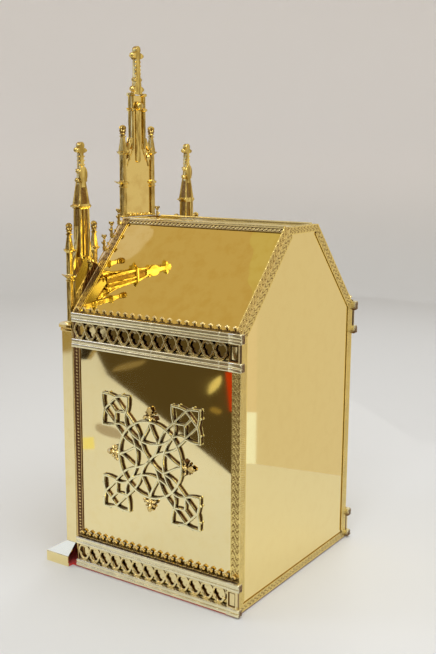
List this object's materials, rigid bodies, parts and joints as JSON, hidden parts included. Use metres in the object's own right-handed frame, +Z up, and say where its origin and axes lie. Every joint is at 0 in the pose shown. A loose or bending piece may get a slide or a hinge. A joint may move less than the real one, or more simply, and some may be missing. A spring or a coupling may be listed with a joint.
{
  "type": "exposition tabernacle",
  "caption": "Gabled brass case with a Gothic front of buttresses, pinnacled towers and hinged doors, pierced side galleries and pierced crosses, standing on a felt-padded base.",
  "frame": {"origin": "centre of the case's footprint on the surface it stands on, at the underside of the felt", "axes": "+Z up; the front with its doors and towers faces -Y; +X is on the right of a person who stands before the doors; the side walls face +X and -X"},
  "size_m": [0.462, 0.4515, 1.0123],
  "materials": {
    "polished_brass": "mirror-polished and lacquered pale gold brass sheet",
    "cast_brass": "cast, pierced and chased brass with polished edges and dark brown recesses",
    "red_felt": "matt red felt sheet"
  },
  "bodies": {
    "case": {"base_felt": "red_felt", "floor_plate": "polished_brass", "side_panel_right": "polished_brass", "side_panel_left": "polished_brass", "roof_slope_right": "polished_brass", "roof_slope_left": "polished_brass", "roof_top_plate": "polished_brass", "back_panel": "polished_brass", "front_plate": "polished_brass", "back_corner_trim_right": "cast_brass", "back_corner_trim_left": "cast_brass", "back_rake_trim_right": "cast_brass", "back_rake_trim_left": "cast_brass", "back_top_trim": "cast_brass", "back_sill_trim": "cast_brass", "front_side_strip_right": "cast_brass", "front_side_strip_left": "cast_brass", "front_rake_strip_right": "cast_brass", "front_rake_strip_left": "cast_brass", "ridge_rail_right": "cast_brass", "ridge_rail_left": "cast_brass", "base_lower_rail_right": "cast_brass", "base_lower_rail_left": "cast_brass", "base_upper_rail_right": "cast_brass", "base_upper_rail_left": "cast_brass", "base_tracery_right": "cast_brass", "base_tracery_left": "cast_brass", "base_cresting_right": "cast_brass", "base_cresting_left": "cast_brass", "eave_lower_rail_right": "cast_brass", "eave_lower_rail_left": "cast_brass", "eave_upper_rail_right": "cast_brass", "eave_upper_rail_left": "cast_brass", "eave_tracery_right": "cast_brass", "eave_tracery_left": "cast_brass", "eave_cresting_right": "cast_brass", "eave_cresting_left": "cast_brass", "side_cross_right": "cast_brass", "side_cross_left": "cast_brass", "buttress_right": "polished_brass", "buttress_left": "polished_brass", "foot_block_right": "polished_brass", "foot_block_left": "polished_brass", "tower_right": "cast_brass", "tower_left": "cast_brass", "tower_centre": "cast_brass", "tower_right_outer_pinnacle": "cast_brass", "tower_right_inner_pinnacle": "cast_brass", "tower_left_outer_pinnacle": "cast_brass", "tower_left_inner_pinnacle": "cast_brass", "tower_centre_pinnacle_right": "cast_brass", "tower_centre_pinnacle_left": "cast_brass", "tower_centre_strap": "polished_brass", "gable_crest_right": "cast_brass", "gable_crest_left": "cast_brass", "hinge_right": "polished_brass", "hinge_left": "polished_brass"},
    "door_right": {"door_right": "polished_brass", "door_knob": "polished_brass"},
    "door_left": {"door_left": "polished_brass"}
  },
  "joints": [
    {"name": "door_right_hinge", "type": "hinge", "parent": "case", "child": "door_right", "pos_m": [0.1227, -0.1985, 0.256], "axis": [0, 0, 1], "range_deg": [0, 110]},
    {"name": "door_left_hinge", "type": "hinge", "parent": "case", "child": "door_left", "pos_m": [-0.1227, -0.1985, 0.256], "axis": [0, 0, -1], "range_deg": [0, 110]}
  ]
}
